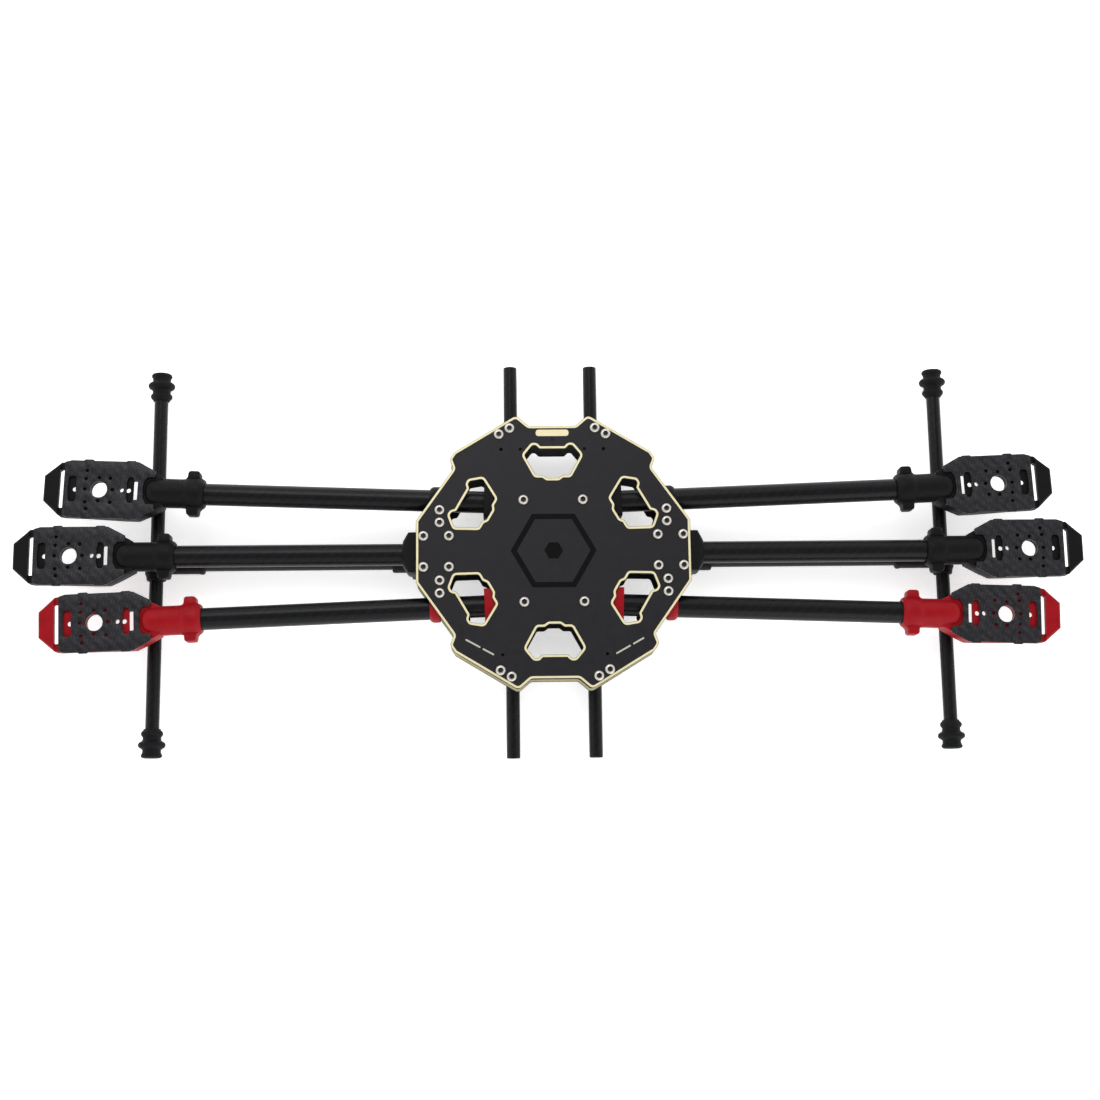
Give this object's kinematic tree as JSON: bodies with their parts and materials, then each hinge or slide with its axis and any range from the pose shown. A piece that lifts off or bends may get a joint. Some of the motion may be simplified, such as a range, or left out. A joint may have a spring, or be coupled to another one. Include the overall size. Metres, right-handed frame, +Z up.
{
  "type": "folding hexacopter frame",
  "caption": "Bare six-arm multirotor airframe, folded: stacked hub plates, tube arms with motor mounts, accessory rails and raised landing skids.",
  "frame": {"origin": "on the ground under the hub centre, with the frame folded and standing on its rubber feet", "axes": "+Z up along the hub's stack, +Y towards the nose (the side with the black folding arms), +X to the right along the fixed arms"},
  "size_m": [0.7742, 0.293, 0.0493],
  "materials": {
    "hub_plate": "matt black glass-fibre laminate with a fine gold line round each edge",
    "carbon_tube": "satin carbon-fibre tube",
    "carbon_plate": "woven carbon-fibre laminate, satin",
    "black_nylon": "moulded black nylon, fine grain",
    "red_nylon": "moulded red nylon, fine grain",
    "rubber": "soft matt rubber",
    "steel": "plated screw steel",
    "black_metal": "black oxide"
  },
  "bodies": {
    "hub": {"top_plate": "hub_plate", "bottom_plate": "hub_plate", "pivot_bolt_front_right": "steel", "end_stop_front_right": "black_nylon", "pivot_bolt_front_left": "steel", "end_stop_front_left": "black_nylon", "pivot_bolt_rear_left": "steel", "end_stop_rear_left": "black_nylon", "pivot_bolt_rear_right": "steel", "end_stop_rear_right": "black_nylon", "rail_left": "carbon_tube", "leg_bracket_left": "black_nylon", "rail_right": "carbon_tube", "leg_bracket_right": "black_nylon", "rail_hanger_front": "black_nylon", "rail_hanger_rear": "black_nylon", "arm_clamp_mid_left": "black_nylon", "arm_tube_mid_left": "carbon_tube", "motor_base_mid_left": "black_nylon", "motor_plate_mid_left": "carbon_plate", "arm_clamp_mid_right": "black_nylon", "arm_tube_mid_right": "carbon_tube", "motor_base_mid_right": "black_nylon", "motor_plate_mid_right": "carbon_plate"},
    "arm_front_right": {"pivot_block_front_right": "black_nylon", "arm_tube_front_right": "carbon_tube", "arm_collar_front_right": "black_nylon", "motor_base_front_right": "black_nylon", "motor_plate_front_right": "carbon_plate"},
    "arm_front_left": {"pivot_block_front_left": "black_nylon", "arm_tube_front_left": "carbon_tube", "arm_collar_front_left": "black_nylon", "motor_base_front_left": "black_nylon", "motor_plate_front_left": "carbon_plate"},
    "arm_rear_left": {"pivot_block_rear_left": "red_nylon", "arm_tube_rear_left": "carbon_tube", "arm_collar_rear_left": "red_nylon", "motor_base_rear_left": "red_nylon", "motor_plate_rear_left": "carbon_plate"},
    "arm_rear_right": {"pivot_block_rear_right": "red_nylon", "arm_tube_rear_right": "carbon_tube", "arm_collar_rear_right": "red_nylon", "motor_base_rear_right": "red_nylon", "motor_plate_rear_right": "carbon_plate"},
    "pin_front_right": {"index_pin_front_right": "black_metal"},
    "pin_front_left": {"index_pin_front_left": "black_metal"},
    "pin_rear_left": {"index_pin_rear_left": "black_metal"},
    "pin_rear_right": {"index_pin_rear_right": "black_metal"},
    "leg_left": {"leg_knuckle_left": "black_nylon", "leg_tube_left": "carbon_tube", "skid_tee_left": "black_nylon", "skid_tube_left": "carbon_tube", "foot_front_left": "rubber", "foot_rear_left": "rubber"},
    "leg_right": {"leg_knuckle_right": "black_nylon", "leg_tube_right": "carbon_tube", "skid_tee_right": "black_nylon", "skid_tube_right": "carbon_tube", "foot_front_right": "rubber", "foot_rear_right": "rubber"}
  },
  "joints": [
    {"name": "fold_front_right", "type": "hinge", "parent": "hub", "child": "arm_front_right", "pos_m": [0.0215, 0.03724, 0.0338], "axis": [0, 0, 1], "range_deg": [0, 57.9]},
    {"name": "fold_front_left", "type": "hinge", "parent": "hub", "child": "arm_front_left", "pos_m": [-0.0215, 0.03724, 0.0338], "axis": [0, 0, -1], "range_deg": [0, 57.9]},
    {"name": "fold_rear_left", "type": "hinge", "parent": "hub", "child": "arm_rear_left", "pos_m": [-0.0215, -0.03724, 0.0338], "axis": [0, 0, 1], "range_deg": [0, 57.9]},
    {"name": "fold_rear_right", "type": "hinge", "parent": "hub", "child": "arm_rear_right", "pos_m": [0.0215, -0.03724, 0.0338], "axis": [0, 0, -1], "range_deg": [0, 57.9]},
    {"name": "lock_front_right", "type": "slide", "parent": "hub", "child": "pin_front_right", "axis": [0, 0, 1], "range_m": [0, 0.004]},
    {"name": "lock_front_left", "type": "slide", "parent": "hub", "child": "pin_front_left", "axis": [0, 0, 1], "range_m": [0, 0.004]},
    {"name": "lock_rear_left", "type": "slide", "parent": "hub", "child": "pin_rear_left", "axis": [0, 0, 1], "range_m": [0, 0.004]},
    {"name": "lock_rear_right", "type": "slide", "parent": "hub", "child": "pin_rear_right", "axis": [0, 0, 1], "range_m": [0, 0.004]},
    {"name": "leg_fold_left", "type": "hinge", "parent": "hub", "child": "leg_left", "pos_m": [-0.096, 0, 0.0098], "axis": [0, -1, 0], "range_deg": [0, 78]},
    {"name": "leg_fold_right", "type": "hinge", "parent": "hub", "child": "leg_right", "pos_m": [0.096, 0, 0.0098], "axis": [0, 1, 0], "range_deg": [0, 78]}
  ]
}
